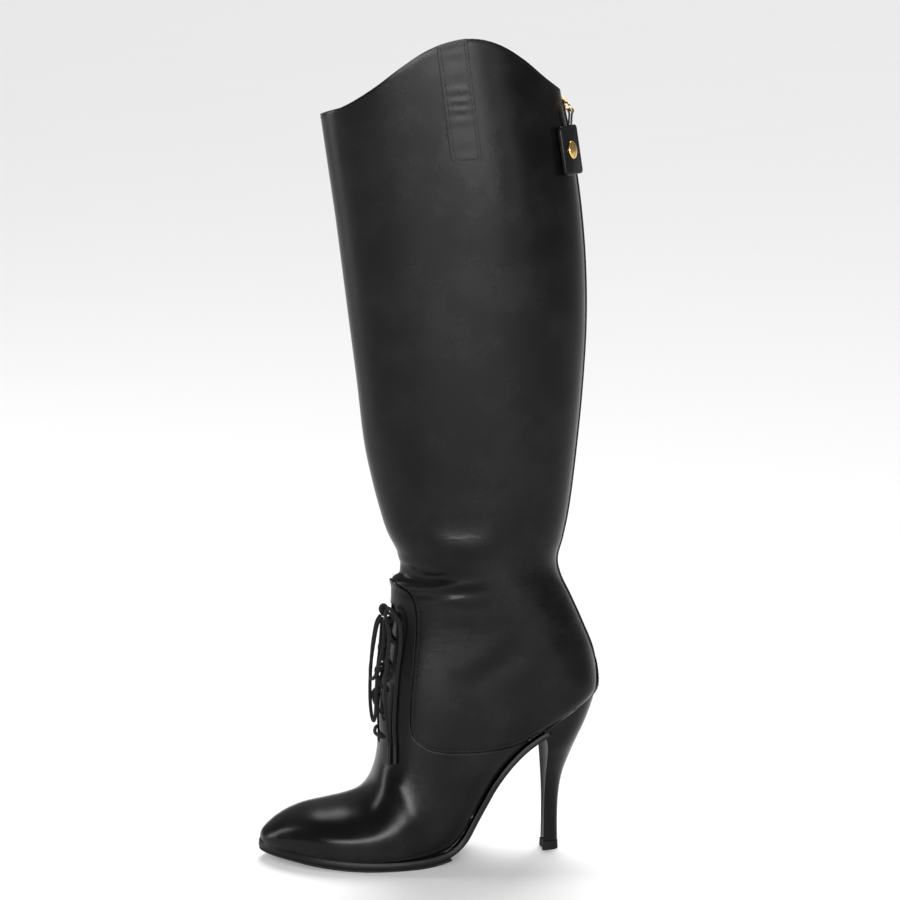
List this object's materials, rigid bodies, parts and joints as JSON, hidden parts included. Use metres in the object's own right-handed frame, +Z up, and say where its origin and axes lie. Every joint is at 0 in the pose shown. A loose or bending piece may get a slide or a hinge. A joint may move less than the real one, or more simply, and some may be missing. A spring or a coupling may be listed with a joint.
{
  "type": "knee-high boot",
  "caption": "Knee-high high-heeled dress boot in smooth leather, with a laced instep slit, a back zip with a swinging pull tag and a raised outer collar.",
  "frame": {"origin": "centre of the heel tip's underside, on the floor", "axes": "+Z up along the shaft, -X towards the toe, +Y towards the inner side of a left foot"},
  "size_m": [0.2108, 0.0881, 0.5058],
  "materials": {
    "leather": "smooth black calf leather, semi-gloss",
    "sole_leather": "black waxed sole leather",
    "rubber": "matt black rubber",
    "lining": "black lining leather, matt",
    "zip_cloth": "black woven zip tape and moulded teeth, matt",
    "brass": "polished yellow brass",
    "cotton": "round black woven cotton lace"
  },
  "bodies": {
    "boot": {"upper": "leather", "vamp": "leather", "tongue": "leather", "pull_strap": "leather", "back_stay": "leather", "insole": "lining", "outsole": "sole_leather", "half_sole": "rubber", "heel_block": "leather", "heel_tip": "rubber", "zip_tape": "zip_cloth", "zip_chain": "zip_cloth", "zip_slider": "brass", "lace_bar": "cotton", "lace_crossing_1": "cotton", "lace_crossing_2": "cotton", "lace_crossing_3": "cotton", "lace_crossing_4": "cotton", "lace_knot": "cotton", "lace_short_loop": "cotton", "lace_long_loop": "cotton", "lace_first_end": "cotton", "lace_second_end": "cotton"},
    "pull": {"pull_link": "brass", "pull_tag": "leather", "pull_stud": "brass"}
  },
  "joints": [
    {"name": "pull_hinge", "type": "hinge", "parent": "boot", "child": "pull", "pos_m": [0.00633, 0, 0.4659], "axis": [0, -1, 0], "range_deg": [0, 150]}
  ]
}
